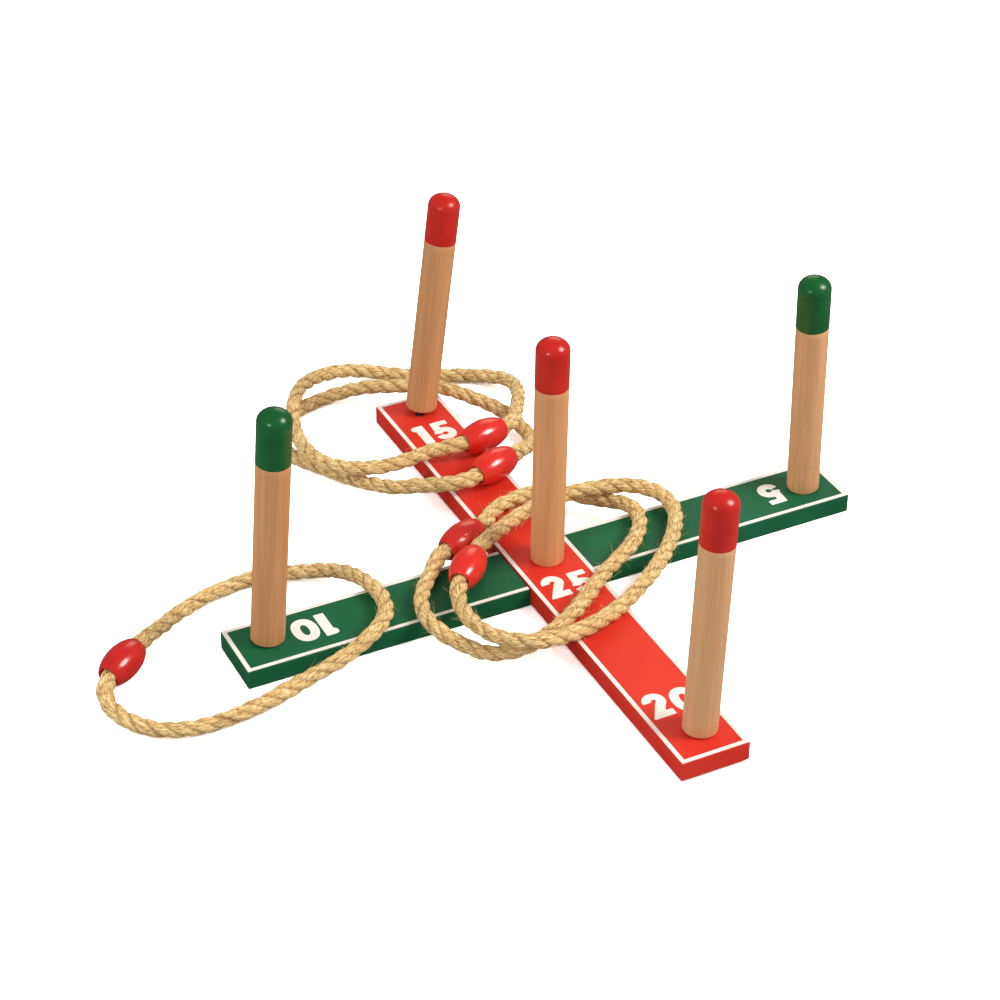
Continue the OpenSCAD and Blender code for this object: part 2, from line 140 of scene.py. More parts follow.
# ------------------------------------------------------------------ shader helpers
def linear(red, green, blue):
    """A display colour, 0 to 255, as linear RGBA."""
    def curve(c):
        c /= 255
        return c / 12.92 if c <= 0.04045 else ((c + 0.055) / 1.055) ** 2.4
    return (curve(red), curve(green), curve(blue), 1.0)


class Shader:
    """A node material built line by line."""

    def __init__(self, name):
        self.material = bpy.data.materials.new(name)
        self.material.use_nodes = True
        self.tree = self.material.node_tree
        self.tree.nodes.clear()

    def add(self, kind, inputs=None, **settings):
        node = self.tree.nodes.new("ShaderNode" + kind)
        for key, value in settings.items():
            setattr(node, key, value)
        for key, value in (inputs or {}).items():
            if isinstance(value, bpy.types.NodeSocket):
                self.tree.links.new(value, node.inputs[key])
            else:
                node.inputs[key].default_value = value
        return node

    def attribute(self, name):
        return self.add("Attribute", attribute_name=name)

    def position_mm(self, scale=(1, 1, 1)):
        """Object coordinates in millimetres, stretched by `scale`."""
        source = self.add("TexCoord").outputs["Object"]
        factor = tuple(1000.0 * s for s in scale)
        return self.stretch(source, factor)

    def stretch(self, vector, scale):
        return self.add("VectorMath", {0: vector, 1: scale}, operation="MULTIPLY").outputs[0]

    def noise(self, vector, scale=1.0, detail=2.0, roughness=0.5, distortion=0.0):
        return self.add("TexNoise", {
            "Vector": vector, "Scale": scale, "Detail": detail,
            "Roughness": roughness, "Distortion": distortion}).outputs[0]

    def remap(self, value, low, high, to_low=0.0, to_high=1.0):
        return self.add("MapRange", {
            "Value": value, "From Min": low, "From Max": high,
            "To Min": to_low, "To Max": to_high}).outputs[0]

    def math(self, operation, first, second=0.0, clamp=False):
        return self.add("Math", {0: first, 1: second}, operation=operation,
                        use_clamp=clamp).outputs[0]

    def mix(self, factor, first, second):
        node = self.add("Mix", data_type="RGBA")
        for key, value in ((0, factor), (6, first), (7, second)):
            if isinstance(value, bpy.types.NodeSocket):
                self.tree.links.new(value, node.inputs[key])
            else:
                node.inputs[key].default_value = value
        return node.outputs[2]

    def bump(self, height, strength, distance_mm, normal=None):
        inputs = {"Height": height, "Strength": strength, "Distance": distance_mm * MM}
        if normal is not None:
            inputs["Normal"] = normal
        return self.add("Bump", inputs).outputs[0]

    def finish(self, **inputs):
        """Ends the tree in a Principled surface, its inputs named with _ for a space."""
        surface = self.add("BsdfPrincipled", {k.replace("_", " "): v for k, v in inputs.items()})
        output = self.add("OutputMaterial")
        self.tree.links.new(surface.outputs[0], output.inputs[0])
        return self.material


# ------------------------------------------------------------------ materials
def board_paint(name, along, body_colour, deep_colour, wood_colour):
    """Satin paint over planed wood, the grain running along X or Y."""
    s = Shader(name)
    stretch = (0.02, 1.0, 1.0) if along == "X" else (1.0, 0.02, 1.0)
    grain = s.noise(s.position_mm(stretch), 0.9, 4.0, 0.6, 0.3)
    clouds = s.noise(s.position_mm(), 0.018, 2.0)
    mottle = s.noise(s.position_mm(), 0.35, 3.0)
    tone = s.math("ADD", s.math("MULTIPLY", clouds, 0.75), s.math("MULTIPLY", grain, 0.25))
    paint = s.mix(s.remap(tone, 0.35, 0.65), deep_colour, body_colour)
    # sharp edges get a painted highlight, lightened toward near-white, and here and there the paint
    # is worn off them and the wood shows
    geometry = s.add("NewGeometry")
    rounded = s.add("Bevel", {"Radius": 0.7 * MM}, samples=6).outputs[0]
    sharp = s.math("SUBTRACT", 1.0, s.add("VectorMath", {
        0: rounded, 1: geometry.outputs["Normal"]}, operation="DOT_PRODUCT").outputs["Value"])
    edge = s.remap(sharp, 0.02, 0.14)
    chips = s.remap(s.noise(s.position_mm(), 0.28, 4.0, 0.7), 0.63, 0.67)
    worn = s.math("MULTIPLY", edge, chips, clamp=True)
    # painted highlight: sharp edges mixed a tenth of the way toward near-white
    paint_with_edge_sheen = s.mix(s.math("MULTIPLY", edge, 0.10), paint, linear(255, 235, 225))
    colour = s.mix(s.math("MULTIPLY", worn, 0.45), paint_with_edge_sheen, wood_colour)
    skin = s.noise(s.position_mm(), 1.6, 2.0)
    normal = s.bump(grain, 0.10, 0.20, rounded)
    normal = s.bump(skin, 0.08, 0.12, normal)
    return s.finish(
        Base_Color=colour, Roughness=s.remap(mottle, 0.3, 0.7, 0.42, 0.55),
        Specular_IOR_Level=0.20, Normal=normal)


def print_ink(name):
    """Slightly uneven matt white ink."""
    s = Shader(name)
    fine = s.noise(s.position_mm(), 1.2, 3.0)
    broad = s.noise(s.position_mm(), 0.05, 2.0)
    thin = s.remap(s.noise(s.position_mm(), 0.5, 4.0, 0.7), 0.68, 0.80)
    colour = s.mix(s.remap(broad, 0.35, 0.65), linear(240, 232, 218), linear(250, 246, 238))
    colour = s.mix(s.math("MULTIPLY", thin, 0.35), colour, linear(214, 196, 178))
    return s.finish(
        Base_Color=colour, Roughness=s.remap(fine, 0.3, 0.7, 0.5, 0.65),
        Specular_IOR_Level=0.35, Normal=s.bump(fine, 0.12, 0.08))


def beech(name, light, dark, fleck):
    """Turned beech, sealed but bare; the grain attribute is in mm with the grain along Z."""
    s = Shader(name)
    grain = s.attribute("grain").outputs["Vector"]
    broad = s.noise(s.stretch(grain, (0.10, 0.10, 0.006)), 1.0, 2.0, 0.5, 0.4)
    layers = s.noise(s.stretch(grain, (0.55, 0.16, 0.010)), 1.0, 3.0, 0.55, 0.8)
    streaks = s.noise(s.stretch(grain, (1.8, 1.8, 0.035)), 1.0, 3.0, 0.6)
    dashes = s.noise(s.stretch(grain, (2.2, 2.2, 0.45)), 1.0, 1.0, 0.4)
    tone = s.math("ADD", s.math("MULTIPLY", broad, 0.40), s.math("MULTIPLY", layers, 0.60))
    colour = s.mix(s.remap(tone, 0.36, 0.64), dark, light)
    colour = s.mix(s.remap(streaks, 0.45, 0.75, 0.0, 0.20), colour, fleck)
    colour = s.mix(s.remap(dashes, 0.66, 0.76, 0.0, 0.55), colour, fleck)
    height = s.math("SUBTRACT", s.math("MULTIPLY", streaks, 0.6),
                    s.remap(dashes, 0.64, 0.76, 0.0, 0.7))
    return s.finish(
        Base_Color=colour, Roughness=s.remap(streaks, 0.3, 0.7, 0.46, 0.60),
        Specular_IOR_Level=0.38, Normal=s.bump(height, 0.15, 0.18))


def gloss_paint(name, body_colour, deep_colour, roughness, gloss):
    """Thick dipped gloss paint; the grain attribute is in mm."""
    s = Shader(name)
    place = s.attribute("grain").outputs["Vector"]
    broad = s.noise(place, 0.06, 2.0)
    skin = s.noise(place, 0.30, 2.0, 0.5)
    specks = s.remap(s.noise(place, 1.7, 2.0, 0.5), 0.70, 0.78)
    colour = s.mix(s.remap(broad, 0.3, 0.7), deep_colour, body_colour)
    colour = s.mix(s.math("MULTIPLY", specks, 0.10), colour, tuple(
        0.6 * c for c in deep_colour[:3]) + (1.0,))
    normal = s.bump(skin, 0.03, 0.35)
    normal = s.bump(specks, 0.04, 0.04, normal)
    return s.finish(
        Base_Color=colour, Roughness=s.remap(skin, 0.3, 0.7, roughness, roughness + 0.07),
        Specular_IOR_Level=gloss, Normal=normal)


def rope_fibre(name, fuzz=False):
    """Sisal: pale streaky fibre with dark flecks, and painted shade, dark brown, down in the grooves.
    """
    s = Shader(name)
    place = s.attribute("yarn").outputs["Vector"]
    groove_shade = s.attribute("groove_shade").outputs["Fac"]
    fine = s.noise(s.stretch(place, (2.4, 2.4, 0.22)), 1.0, 3.0, 0.65)
    flecks = s.noise(s.stretch(place, (0.85, 0.85, 0.24)), 1.0, 3.0, 0.62)
    patches = s.noise(place, 0.06, 2.0)
    tone = s.math("ADD", s.math("MULTIPLY", fine, 0.35), s.math("MULTIPLY", flecks, 0.65))
    colour = s.mix(s.remap(tone, 0.40, 0.60), linear(200, 150, 84), linear(250, 226, 160))
    colour = s.mix(s.remap(patches, 0.38, 0.68, 0.0, 0.40), colour, linear(218, 172, 102))
    colour = s.mix(s.remap(flecks, 0.56, 0.70, 0.0, 0.65), colour, linear(255, 244, 198))
    dark = s.remap(flecks, 0.45, 0.34, 0.0, 0.80)
    colour = s.mix(dark, colour, linear(134, 86, 42))
    # painted shade: on the strands, points deep in the grooves are darkened toward dark brown
    if not fuzz:
        colour = s.mix(s.math("MULTIPLY", s.math("POWER", groove_shade, 1.2), 0.92), colour,
                       linear(112, 66, 30))
    height = s.math("ADD", s.math("MULTIPLY", fine, 0.7), flecks)
    normal = s.bump(height, 0.70, 0.55)
    return s.finish(
        Base_Color=colour, Roughness=s.remap(fine, 0.3, 0.7, 0.55, 0.75),
        Specular_IOR_Level=0.3, Sheen_Weight=0.10, Sheen_Roughness=0.4, Normal=normal)


def plated_steel(name, body_colour, roughness):
    """Plated steel with fine scratches and a few dull spots."""
    s = Shader(name)
    scratches = s.noise(s.position_mm((0.3, 0.3, 3.0)), 1.5, 3.0, 0.7)
    spots = s.remap(s.noise(s.position_mm(), 0.6, 3.0), 0.58, 0.72)
    darker = tuple(0.45 * c for c in body_colour[:3]) + (1.0,)
    return s.finish(
        Base_Color=s.mix(s.math("MULTIPLY", spots, 0.5), body_colour, darker),
        Metallic=1.0, Roughness=s.remap(scratches, 0.3, 0.7, roughness, roughness + 0.18),
        Normal=s.bump(scratches, 0.15, 0.05))


RED_BODY, RED_DEEP = linear(224, 57, 40), linear(212, 45, 31)
GREEN_BODY, GREEN_DEEP = linear(23, 102, 66), linear(18, 90, 56)
red_board_paint = board_paint(
    "red_board_paint", "Y", RED_BODY, RED_DEEP, linear(196, 120, 90))
green_board_paint = board_paint(
    "green_board_paint", "X", GREEN_BODY, GREEN_DEEP, linear(120, 130, 96))
ink = print_ink("white_ink")
dip_red = gloss_paint("dip_red", linear(202, 36, 24), linear(190, 28, 18), 0.22, 0.50)
dip_green = gloss_paint("dip_green", linear(16, 94, 42), linear(10, 82, 34), 0.22, 0.50)
bead_paint = gloss_paint("bead_red_paint", linear(228, 46, 32), linear(214, 36, 24), 0.18, 0.85)
deep_bead_paint = gloss_paint("deep_bead_paint", linear(208, 32, 24), linear(192, 24, 18), 0.18, 0.80)
rope_material = rope_fibre("sisal_rope")
fuzz_material = rope_fibre("sisal_hairs", fuzz=True)
dark_steel = plated_steel("dark_steel", linear(84, 83, 84), 0.30)
zinc_steel = plated_steel("zinc_steel", linear(190, 190, 186), 0.32)
BEECH_TONES = {
    "5": ((223, 168, 117), (206, 151, 102)),
    "10": ((212, 153, 102), (195, 136, 88)),
    "15": ((211, 154, 103), (195, 138, 89)),
    "20": ((219, 168, 120), (205, 154, 107)),
    "25": ((225, 164, 112), (208, 147, 96)),
}

# ------------------------------------------------------------------ boards, print and tee nuts
CAD_LOOKS = {
    "green_board": green_board_paint, "red_board": red_board_paint,
    "green_board_print": ink, "red_board_print": ink,
}
CAD_LOOKS.update({"tee_nut_" + peg: zinc_steel for peg in PEGS})
for node, material in CAD_LOOKS.items():
    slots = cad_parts[node].data.materials
    slots.clear()
    slots.append(material)


# ------------------------------------------------------------------ pegs, tips and studs
def peg_axis(peg):
    """Foot, direction, heights, radii and paint line of a leaning peg."""
    stud_low, stud_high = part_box("stud_" + peg)
    stud = np.array((stud_low + stud_high) / 2)
    stud_radius = (stud_high.x - stud_low.x) / 2
    wood, paint = node_points("peg_" + peg), node_points(f"peg_{peg}_tip_paint")
    from_stud = np.linalg.norm(wood[:, :2] - stud[:2], axis=1)
    in_hole = (from_stud < stud_radius + 1 * MM) & (wood[:, 2] < stud_high.z + 3 * MM)
    shell = np.concatenate([wood[~in_hole], paint])
    centre, axis = turning_axis(shell, UP)
    heights = (shell - centre) @ axis
    foot = centre + heights.min() * axis
    paint_heights, paint_radii = (paint - foot) @ axis, radius_about(paint, centre, axis)
    full = paint_radii > paint_radii.max() - 0.05 * MM
    return {
        "foot": foot, "axis": axis, "height": float(np.ptp(heights)),
        "radius": float(radius_about(wood[~in_hole], centre, axis).max()),
        "paint_radius": float(paint_radii.max()),
        "shoulder": float(paint_heights[full].max()),
        "paint_line": float(paint_heights.min()),
        "stud": stud, "stud_radius": stud_radius, "stud_top": stud_high.z,
    }


def dome_profile(p, radius, first, last, steps):
    """Part of the elliptical dome on a peg, at the given full radius, by its angles."""
    rise = p["height"] - p["shoulder"] - (p["paint_radius"] - radius)
    return [(radius * math.cos(a), p["shoulder"] + rise * math.sin(a))
            for a in np.radians(np.linspace(first, last, steps + 1))]


def local_mm(points, centre, axis, offset):
    """Coordinates about an axis in mm, shifted so that each piece gets its own grain."""
    first, second = side_axes(axis)
    rest = points - centre
    return np.stack([rest @ first, rest @ second, rest @ axis], 1) / MM + np.asarray(offset)


PEG_SIDES = 96
FOOT_ROUNDING = 0.9 * MM
WOOD_UNDER_PAINT = 0.2 * MM     # how far the wood steps in under the dipped skin
PAINT_LAP = 1.4 * MM            # how far above the paint's edge that step lies
HOLE_PLAY = 0.12 * MM
HOLE_SPARE_DEPTH = 1 * MM


def build_peg(peg, shift):
    p = peg_axis(peg)
    foot, axis, r = p["foot"], p["axis"], p["radius"]
    skin = WOOD_UNDER_PAINT
    profile = arc_profile((r - FOOT_ROUNDING, FOOT_ROUNDING), FOOT_ROUNDING, -90, 0, 6)
    under = p["paint_line"] + PAINT_LAP
    profile += [(r, h) for h in np.linspace(2 * MM, under, 24)]
    profile += [(r - skin, under + skin), (r - skin, p["shoulder"])]
    dome = dome_profile(p, r - skin, 6, 90, 14)
    profile += dome[:-1]
    points = revolve(profile, PEG_SIDES, foot, axis)
    faces = grid_faces(len(profile), PEG_SIDES)
    apex = len(points)
    last = apex - PEG_SIDES
    points = np.concatenate([points, [foot + dome[-1][1] * axis]])
    faces += [(last + j, last + (j + 1) % PEG_SIDES, apex) for j in range(PEG_SIDES)]
    # the blind hole for the stud, upright although the peg leans
    ring = directions_about(axis, PEG_SIDES)
    hole = p["stud"] + (p["stud_radius"] + HOLE_PLAY) * ring / np.linalg.norm(
        ring[:, :2], axis=1, keepdims=True)
    loops = []
    lift = ((foot - hole) @ axis) / axis[2]
    for depth in (0, 0.4 * MM, p["stud_top"] - foot[2] + HOLE_SPARE_DEPTH):
        loops.append(hole + (lift + depth)[:, None] * UP)
    start = len(points)
    points = np.concatenate([points] + loops)
    for j in range(PEG_SIDES):
        k = (j + 1) % PEG_SIDES
        faces.append((k, j, start + j, start + k))
    faces += [tuple(reversed(f)) for f in grid_faces(3, PEG_SIDES, start=start)]
    end = start + 2 * PEG_SIDES
    faces.append(tuple(end + j for j in reversed(range(PEG_SIDES))))
    light, dark = BEECH_TONES[peg]
    fleck = tuple(0.80 * c for c in dark)
    material = beech("beech_" + peg, linear(*light), linear(*dark), linear(*fleck))
    piece("peg_wood_" + peg, points, faces, "peg_" + peg, "peg_" + peg, material,
          vectors={"grain": local_mm(points, foot, axis, shift)})
    build_tip(peg, p, shift)
    build_stud(peg, p)


def build_tip(peg, p, shift):
    """The dipped end: a closed skin with a soft lower lip and a slightly uneven edge."""
    foot, axis, outer = p["foot"], p["axis"], p["paint_radius"]
    line, inner = p["paint_line"], p["radius"] - 0.15 * MM
    lip = 0.12 * MM
    under, over = dome_profile(p, inner, 90, 0, 18), dome_profile(p, outer, 0, 90, 24)
    profile = under[1:] + [(inner, line + 6 * MM), (inner, line)]
    profile += arc_profile((outer - lip, line + lip), lip, -90, 0, 5)
    profile += [(outer + 0.06 * MM, line + 0.8 * MM), (outer, line + 2.2 * MM)]
    profile += [(outer, h) for h in np.linspace(line + 5 * MM, p["shoulder"], 8)]
    profile += over[1:-1]
    count = PEG_SIDES
    points = revolve(profile, count, foot, axis)
    rows = len(profile)
    # the edge of the dip wanders by a few tenths of a millimetre
    angles = turn_angles(count)
    phase = float(shift[0])
    wander = (0.30 * np.sin(angles + phase) + 0.16 * np.sin(3 * angles + 2 * phase)
              + 0.07 * np.sin(7 * angles + 5 * phase)) * MM
    fade = np.clip(1 - (np.array([h for _, h in profile]) - line) / (6 * MM), 0, 1)
    points = points + (fade[:, None] * wander[None, :]).reshape(-1, 1) * axis
    faces = grid_faces(rows, count)
    apex = len(points)
    points = np.concatenate([points, [foot + over[-1][1] * axis, foot + under[0][1] * axis]])
    last = (rows - 1) * count
    faces += [(last + j, last + (j + 1) % count, apex) for j in range(count)]
    faces += [((j + 1) % count, j, apex + 1) for j in range(count)]
    green = peg in ("5", "10")
    slot, material = ("green_dip", dip_green) if green else ("red_dip", dip_red)
    piece(f"peg_dip_{peg}", points, faces, "peg_" + peg, f"peg_{peg}_tip_paint", material,
          vectors={"grain": local_mm(points, foot, axis, shift)})


THREAD_PITCH = 1 * MM


def build_stud(peg, p):
    """A threaded stud: the thread is cut into the CAD stud's full diameter."""
    low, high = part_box("stud_" + peg)
    centre = np.array([(low.x + high.x) / 2, (low.y + high.y) / 2, low.z])
    length, r = high.z - low.z, p["stud_radius"]
    per_turn, count = ((8, 40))
    depth, chamfer = 0.5 * MM, 0.8 * MM
    heights = np.arange(0, length, THREAD_PITCH / per_turn)
    heights = np.append(heights, length)
    angles = turn_angles(count)
    phase = (heights[:, None] / THREAD_PITCH - angles[None, :] / (2 * math.pi)) % 1.0
    tooth = np.clip(np.abs(2 * phase - 1) * 1.25 - 0.06, 0, 1)
    limit = r - np.clip(1 - heights / chamfer, 0, 1) * chamfer
    limit = np.minimum(limit, r - np.clip(1 - (length - heights) / chamfer, 0, 1) * chamfer)
    radius = np.minimum(r - depth * (1 - tooth), limit[:, None])
    points = np.stack([
        centre[0] + radius * np.cos(angles), centre[1] + radius * np.sin(angles),
        centre[2] + np.broadcast_to(heights[:, None], radius.shape)], 2).reshape(-1, 3)
    faces = grid_faces(len(heights), count)
    faces.append(tuple(reversed(range(count))))
    last = (len(heights) - 1) * count
    faces.append(tuple(last + j for j in range(count)))
    piece("stud_thread_" + peg, points, faces, "stud_" + peg, "stud_" + peg,
          dark_steel)


for i, peg in enumerate(PEGS):
    build_peg(peg, (137.0 * i + 11.0, 71.0 * i, 53.0 * i))


# ------------------------------------------------------------------ ropes
HARMONICS = 13


def rope_middle(ring, spacing):
    """Middle line of a rope at even spacing, starting and ending in the middle of its bead."""
    points = node_points(f"ring_{ring}_rope")
    low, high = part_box(f"ring_{ring}_bead")
    bead = np.array((low + high) / 2)
    centre = points.mean(0)
    rest = points - centre
    angles = np.arctan2(rest[:, 1], rest[:, 0])

    def waves(a):
        columns = [np.ones_like(a)]
        for k in range(1, HARMONICS + 1):
            columns += [np.cos(k * a), np.sin(k * a)]
        return np.stack(columns, 1)

    fitted = np.linalg.lstsq(waves(angles), rest, rcond=None)[0]
    at_bead = math.atan2(bead[1] - centre[1], bead[0] - centre[0])
    fine = at_bead + np.linspace(0, 2 * math.pi, 6001)
    line = centre + waves(fine) @ fitted
    steps = np.linalg.norm(np.diff(line, axis=0), axis=1)
    travelled = np.concatenate([[0], np.cumsum(steps)])
    count = int(round(travelled[-1] / spacing)) + 1
    wanted = np.linspace(0, travelled[-1], count)
    return np.stack([np.interp(wanted, travelled, line[:, k]) for k in range(3)], 1), wanted


def eased_knots(where):
    """Knot before each place, and how far on it is, eased at both ends."""
    i = np.floor(where).astype(int)
    f = where - i
    return i, f * f * (3 - 2 * f)


def smooth_noise(rng, places, scale, octaves=2):
    """Seeded smooth noise along a line, about -1 to 1."""
    total = np.zeros_like(places)
    for k in range(octaves):
        knots = int(places[-1] / scale * 2 ** k) + 4
        values = rng.uniform(-1, 1, knots)
        i, f = eased_knots(places / places[-1] * (knots - 2))
        total += (values[i] * (1 - f) + values[i + 1] * f) / 2 ** k
    return total


LAY = 43 * MM                   # one turn of a strand
STRANDS = 3
HELIX_RADIUS = 2.65 * MM
STRAND_RADIUS = 4.15 * MM
YARNS = 11                      # ridges round a strand
COUNTER_TWIST = 1.75            # turns of the yarns against each turn of the strand
BARE_END = 24 * MM              # no loose fibres this near the middle of a bead


def lumps(rng, places, around, scale, knots_around):
    """Seeded smooth noise over a strand's surface, about -1 to 1, without a seam."""
    knots = int(places[-1] / scale) + 3
    values = rng.uniform(-1, 1, (knots, knots_around))
    i, f = eased_knots(places / places[-1] * (knots - 2))
    f = f[:, None]
    rows = values[i] * (1 - f) + values[i + 1] * f
    j, g = eased_knots(np.arange(around) / around * knots_around)
    return rows[:, j] * (1 - g) + rows[:, (j + 1) % knots_around] * g


def build_rope(ring, seed, hairs, lay_phase):
    rng = np.random.default_rng(seed)
    spacing, around = ((1.15 * MM, 54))
    middle, along = rope_middle(ring, spacing)
    rows = len(middle)
    tangent = unit(np.gradient(middle, axis=0))
    side = unit(np.cross(tangent, UP))
    up = np.cross(side, tangent)
    turn = 2 * math.pi * along / LAY + lay_phase
    # the rope opens a little where it leaves its bead
    from_end = np.minimum(along, along[-1] - along)
    swell = 1 + 0.11 * np.exp(-((from_end - 30 * MM) / (10 * MM)) ** 2)
    swell *= 1 + 0.03 * smooth_noise(rng, along, 45 * MM)
    points, faces, yarn, groove_shade, surfaces = [], [], [], [], []
    for strand in range(STRANDS):
        a = turn + 0.16 * smooth_noise(rng, along, 26 * MM) + 2 * math.pi * strand / STRANDS
        helix = HELIX_RADIUS * swell * (1 + 0.07 * smooth_noise(rng, along, 18 * MM))
        outward = np.cos(a)[:, None] * up + np.sin(a)[:, None] * side
        core = middle + helix[:, None] * outward
        way = unit(np.gradient(core, axis=0))
        outward = unit(outward - (outward * way).sum(1, keepdims=True) * way)
        across = np.cross(way, outward)
        thickness = STRAND_RADIUS * swell * (1 + 0.05 * smooth_noise(rng, along, 14 * MM, 3))
        psi = turn_angles(around)
        phi = psi[None, :] - COUNTER_TWIST * (a[:, None] - a[0])
        ridge = np.abs(np.cos(YARNS * psi / 2))
        uneven = (0.045 * lumps(rng, along, around, 7 * MM, 6)
                  + 0.030 * lumps(rng, along, around, 3 * MM, 15))
        ridge_depth = 0.055 + 0.02 * lumps(rng, along, around, 20 * MM, YARNS)
        radius = thickness[:, None] * (1 + ridge_depth * (ridge[None, :] - 0.7) + uneven)
        flat = 1 - 0.05 * np.cos(phi) ** 2
        surface = core[:, None, :] + (radius * flat)[:, :, None] * (
            np.cos(phi)[:, :, None] * outward[:, None, :]
            + np.sin(phi)[:, :, None] * across[:, None, :])
        # how deep each point lies, for the painted shade in the grooves
        offset = surface - middle[:, None, :]
        from_middle = np.linalg.norm(
            offset - (offset * tangent[:, None, :]).sum(2, keepdims=True)
            * tangent[:, None, :], axis=2)
        start = strand * rows * around
        faces += grid_faces(rows, around, start=start)
        faces.append(tuple(start + j for j in reversed(range(around))))
        faces.append(tuple(start + (rows - 1) * around + j for j in range(around)))
        points.append(surface.reshape(-1, 3))
        yarn.append(np.stack([
            np.broadcast_to(3.7 * np.cos(psi), (rows, around)),
            np.broadcast_to(3.7 * np.sin(psi), (rows, around)),
            np.broadcast_to(along[:, None] / MM, (rows, around))], 2).reshape(-1, 3)
            + np.array([40.0 * strand + 7 * seed, 0, 900.0 * strand]))
        groove_shade.append(np.clip((6.1 * MM * swell[:, None] - from_middle) / (1.9 * MM), 0, 1).ravel())
        surfaces.append((core, way, outward, across))
    points = np.concatenate(points)
    yarn, groove_shade = np.concatenate(yarn), np.concatenate(groove_shade)
    piece(f"ring_{ring}_strands", points, faces, "ring_" + ring, f"ring_{ring}_rope",
          rope_material, vectors={"yarn": yarn}, floats={"groove_shade": groove_shade})
    build_hairs(ring, rng, hairs, surfaces, along)


def build_hairs(ring, rng, count, surfaces, along):
    """Loose fibre ends: fine curved tapering tubes that start in a strand's surface."""
    segments, sides = 6, 3
    rows = len(along)
    free = np.nonzero((along > BARE_END) & (along < along[-1] - BARE_END))[0]
    points, faces, yarn = [], [], []
    for hair in range(count):
        core, way, outward, across = surfaces[hair % STRANDS]
        i = int(rng.choice(free))
        phi = rng.normal(0, 0.9)
        normal = math.cos(phi) * outward[i] + math.sin(phi) * across[i]
        sideways = np.cross(way[i], normal)
        # a fibre follows its yarn, which runs back along the rope across the strand
        heading = unit(way[i] - rng.normal(0.75, 0.25) * sideways)
        if rng.random() < 0.5:
            heading = -heading
        long_one = rng.random() < 0.22
        length = (rng.uniform(7, 13) if long_one else rng.uniform(3, 8)) * MM
        tilt = rng.uniform(0.15, 0.65) if long_one else rng.uniform(0.02, 0.30)
        curl = rng.normal(0, 0.5, 2) / length * 0.9
        radius = (rng.uniform(0.11, 0.17) if long_one else rng.uniform(0.08, 0.14)) * MM
        at = core[i] + (STRAND_RADIUS - 0.20 * MM) * normal
        direction = unit(heading + tilt * normal)
        lean = normal * (1 - tilt)
        start = len(points)
        for k in range(segments + 1):
            thin = radius * (1 - 0.75 * k / segments)
            a1 = unit(np.cross(direction, UP + 0.01 * heading))
            a2 = np.cross(direction, a1)
            for j in range(sides):
                b = 2 * math.pi * j / sides
                points.append(at + thin * (math.cos(b) * a1 + math.sin(b) * a2))
                yarn.append((hair * 3.1 % 97, j * 0.2, k * 2.0 + hair))
            step = length / segments
            direction = unit(direction + step * (curl[0] * sideways + curl[1] * lean))
            at = at + step * direction
        faces += grid_faces(segments + 1, sides, start=start)
        faces.append(tuple(start + j for j in reversed(range(sides))))
        faces.append(tuple(start + segments * sides + j for j in range(sides)))
    points = np.array(points)
    # a fibre never reaches below the floor
    points[:, 2] = np.maximum(points[:, 2], 0.2 * MM)
    piece(f"ring_{ring}_hairs", points, faces, "ring_" + ring, None, fuzz_material,
          vectors={"yarn": np.array(yarn)})


def build_bead(ring, shift):
    """A turned barrel bead with rounded rims and a bore that the rope fills."""
    solid = node_points(f"ring_{ring}_bead")
    along_x = np.ptp(solid[:, 0]) > np.ptp(solid[:, 1])
    _, axis = turning_axis(solid, unit(np.array([1.0, 0.3, 0.0] if along_x else [0.3, 1.0, 0.0])))
    low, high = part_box(f"ring_{ring}_bead")
    centre = np.array((low + high) / 2)
    heights = (solid - centre) @ axis
    half, radius = float(np.ptp(heights)) / 2, float(radius_about(solid, centre, axis).max())
    end = 9.0 * MM
    full = half / math.sqrt(1 - (end / radius) ** 2)
    rim = 0.9 * MM
    bore = 7.25 * MM
    profile = []
    for h in np.linspace(-half + 1.6 * MM, half - 1.6 * MM, 44):
        profile.append((radius * math.sqrt(1 - (h / full) ** 2), h))
    last_r, last_h = profile[-1]
    corner = (last_r - 1.30 * MM, half - rim)
    over = arc_profile(corner, rim, 42, 90, 7)
    inside = [(bore + 0.35 * MM, half - 0.15 * MM), (bore + 0.08 * MM, half - 1.0 * MM),
              (bore, half - 3 * MM)]
    half_turn = over + inside
    profile = ([(r, -h) for r, h in reversed(half_turn)] + profile + half_turn)
    count = 112
    points = revolve(profile, count, centre, axis)
    faces = grid_faces(len(profile), count, close_rows=True)
    piece(f"ring_{ring}_barrel", points, faces, "ring_" + ring, f"ring_{ring}_bead",
          deep_bead_paint if ring == "1" else bead_paint,
          vectors={"grain": local_mm(points, centre, axis, shift)})


# each ring's seed, number of loose fibres, and start of its lay in radians
ROPE_LOOKS = {"1": (11, 450, 0.4), "2": (23, 700, 1.3), "3": (37, 700, 2.2),
              "4": (41, 1500, 0.9), "5": (59, 1500, 2.9)}
for ring in RINGS:
    seed, hairs, lay_phase = ROPE_LOOKS[ring]
    build_rope(ring, seed, hairs, lay_phase)
    build_bead(ring, (61.0 * seed, 17.0 * seed, 5.0 * seed))

# ------------------------------------------------------------------ stage, light and camera
scene = bpy.context.scene


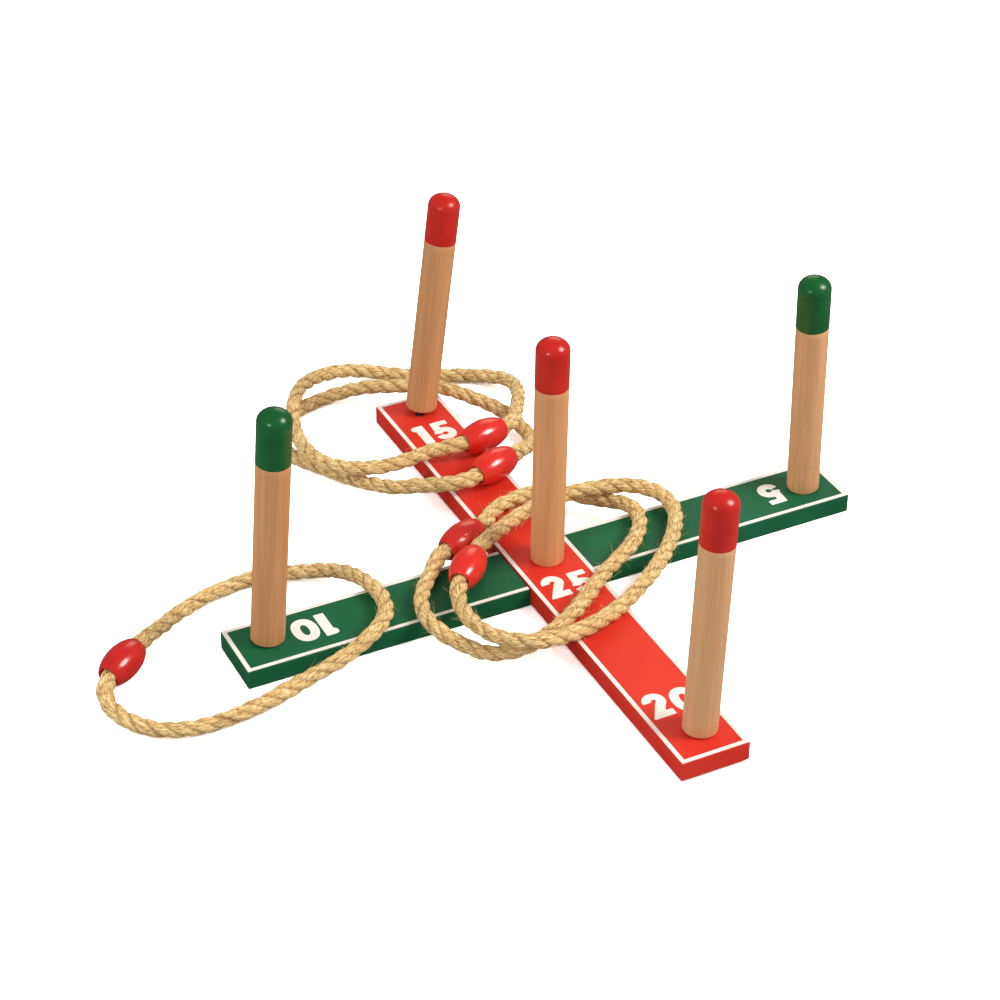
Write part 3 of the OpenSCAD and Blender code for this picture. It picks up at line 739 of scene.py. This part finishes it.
def build_floor():
    """A flat pale floor, burnt out white to the camera yet throwing back under half the light."""
    s = Shader("pale_floor")
    shade = s.remap(s.noise(s.position_mm(), 0.004, 2.0), 0.3, 0.7, 2.45, 2.5)
    path = s.add("LightPath")
    seen = s.math("MULTIPLY", s.math("SUBTRACT", shade, 0.47), path.outputs["Is Camera Ray"])
    mirrored = s.math("MULTIPLY", -0.33, path.outputs["Is Glossy Ray"])
    albedo = s.math("ADD", s.math("ADD", 0.47, seen), mirrored)
    surface = s.add("BsdfDiffuse", {"Color": albedo, "Roughness": 0.0})
    output = s.add("OutputMaterial")
    s.tree.links.new(surface.outputs[0], output.inputs[0])
    half, level = 12.0, -0.2 * MM
    mesh = bpy.data.meshes.new("floor")
    mesh.from_pydata([(-half, -half, level), (half, -half, level), (half, half, level),
                      (-half, half, level)], [], [(0, 1, 2, 3)])
    mesh.materials.append(s.material)
    floor = bpy.data.objects.new("floor", mesh)
    scene.collection.objects.link(floor)


def area_light(name, direction, distance, size, power, colour=(1, 1, 1), mirrored=True):
    """A square softbox that shines at the middle of the set, seen in gloss if mirrored."""
    data = bpy.data.lights.new(name, "AREA")
    data.shape, data.size, data.energy, data.color = "SQUARE", size, power, colour
    lamp = bpy.data.objects.new(name, data)
    scene.collection.objects.link(lamp)
    towards = Vector(direction).normalized()
    lamp.location = Vector((0, 0, 0.08)) + towards * distance
    lamp.visible_glossy = mirrored
    lamp.rotation_mode = "QUATERNION"
    lamp.rotation_quaternion = towards.to_track_quat("Z", "Y")


build_floor()
area_light("key", (0.61, -0.44, 0.76), 2.4, 0.90, 42, (1.0, 0.97, 0.93))
area_light("side", (-0.90, 0.42, 0.40), 2.2, 1.2, 11.5, mirrored=False)
area_light("fill", (-0.76, -0.42, 0.46), 1.7, 0.30, 4.4)
area_light("rim", (0.50, 0.75, 0.45), 2.4, 1.0, 5, (1.0, 0.88, 0.68))


def build_world():
    """An even white studio: white to the camera, dimmer in what it lights and reflects."""
    world = bpy.data.worlds.new("studio")
    scene.world = world
    world.use_nodes = True
    nodes, links = world.node_tree.nodes, world.node_tree.links
    background = nodes["Background"]
    background.inputs["Color"].default_value = (1.0, 1.0, 1.0, 1.0)
    path = nodes.new("ShaderNodeLightPath")
    strength = None
    for output, light, otherwise in (("Is Glossy Ray", 0.16, 0.60), ("Is Camera Ray", 1.0, None)):
        pick = nodes.new("ShaderNodeMix")
        links.new(path.outputs[output], pick.inputs[0])
        if strength is None:
            pick.inputs[2].default_value = otherwise
        else:
            links.new(strength, pick.inputs[2])
        pick.inputs[3].default_value = light
        strength = pick.outputs[0]
    links.new(strength, background.inputs["Strength"])


build_world()
scene.view_settings.view_transform = "Standard"

camera_data = bpy.data.cameras.new("camera")
camera_data.sensor_width, camera_data.lens = 36.0, 93.15
camera_data.clip_start, camera_data.clip_end = 0.05, 60.0
camera = bpy.data.objects.new("camera", camera_data)
scene.collection.objects.link(camera)
scene.camera = camera
TARGET = Vector((0.0164, 0.1192, 0.0))
AZIMUTH, ELEVATION, ROLL = math.radians(-26.633), math.radians(34.480), math.radians(0.167)
DISTANCE = 2.266
back = Vector((math.sin(AZIMUTH) * math.cos(ELEVATION), -math.cos(AZIMUTH) * math.cos(ELEVATION),
               math.sin(ELEVATION)))
camera.location = TARGET + back * DISTANCE
camera.rotation_mode = "QUATERNION"
turned = (-back).to_track_quat("-Z", "Y").to_matrix().to_4x4() @ Matrix.Rotation(ROLL, 4, "Z")
camera.rotation_quaternion = turned.to_quaternion()
